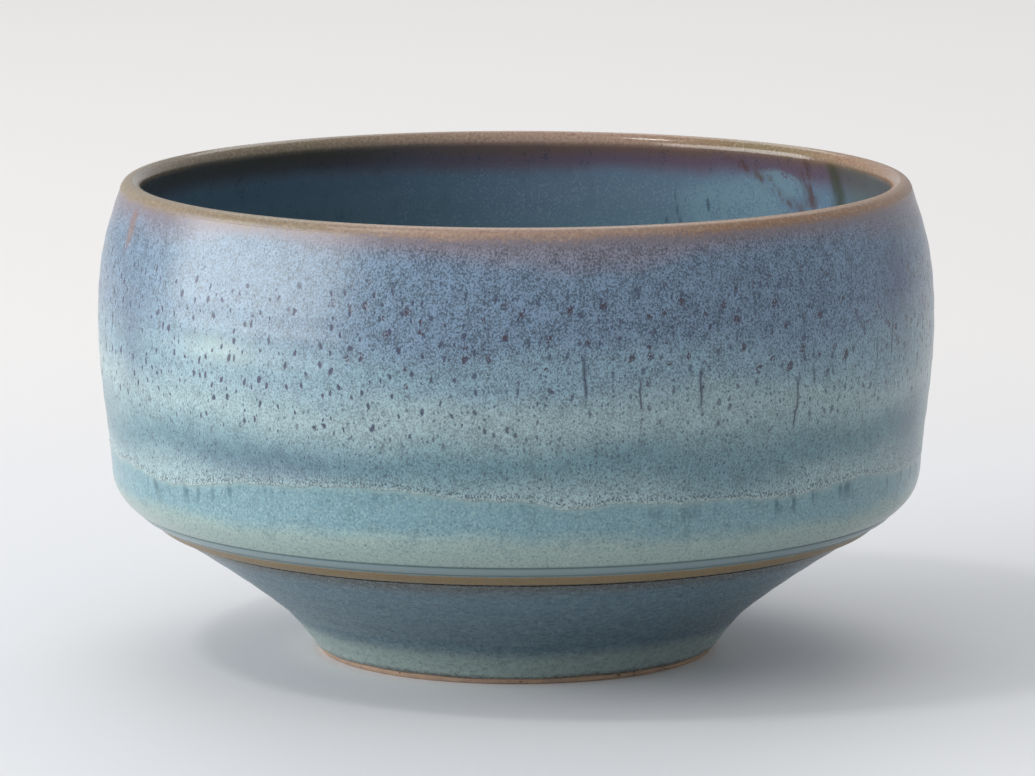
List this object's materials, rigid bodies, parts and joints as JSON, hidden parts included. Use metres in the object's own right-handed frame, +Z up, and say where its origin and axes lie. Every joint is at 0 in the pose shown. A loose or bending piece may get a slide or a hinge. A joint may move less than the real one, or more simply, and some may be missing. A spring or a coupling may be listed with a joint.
{
  "type": "matcha bowl",
  "caption": "Round thrown stoneware tea bowl on a flared conical foot ring, glazed inside and out, with a rounded lip, a full hip and a turned step over the foot.",
  "frame": {"origin": "centre of the foot's standing ring, on the surface the bowl stands on", "axes": "+Z up along the bowl's axis of revolution, out of its mouth"},
  "size_m": [0.1252, 0.1252, 0.0713],
  "materials": {
    "stoneware_body": "bare fired stoneware, matt, under the glaze",
    "stoneware_foot": "bare fired stoneware at the standing ring, matt, fine sandy grain",
    "mint_base_glaze": "smooth glossy pale mint glaze, breaking to brown at the lip and the step's edge",
    "speckled_blue_glaze": "satin blue glaze densely speckled with pale and dark flecks, run into short streaks",
    "inner_blue_glaze": "glossy dark blue speckled glaze, purple-brown under the lip",
    "foot_blue_glaze": "satin mottled blue-grey glaze over the foot",
    "well_blue_glaze": "satin mottled blue-grey glaze inside the foot"
  },
  "bodies": {
    "root": {"bowl_clay": "stoneware_body", "foot_ring": "stoneware_foot", "outer_glaze": "mint_base_glaze", "overglaze": "speckled_blue_glaze", "inner_glaze": "inner_blue_glaze", "foot_glaze": "foot_blue_glaze", "foot_well_glaze": "well_blue_glaze"}
  },
  "joints": []
}
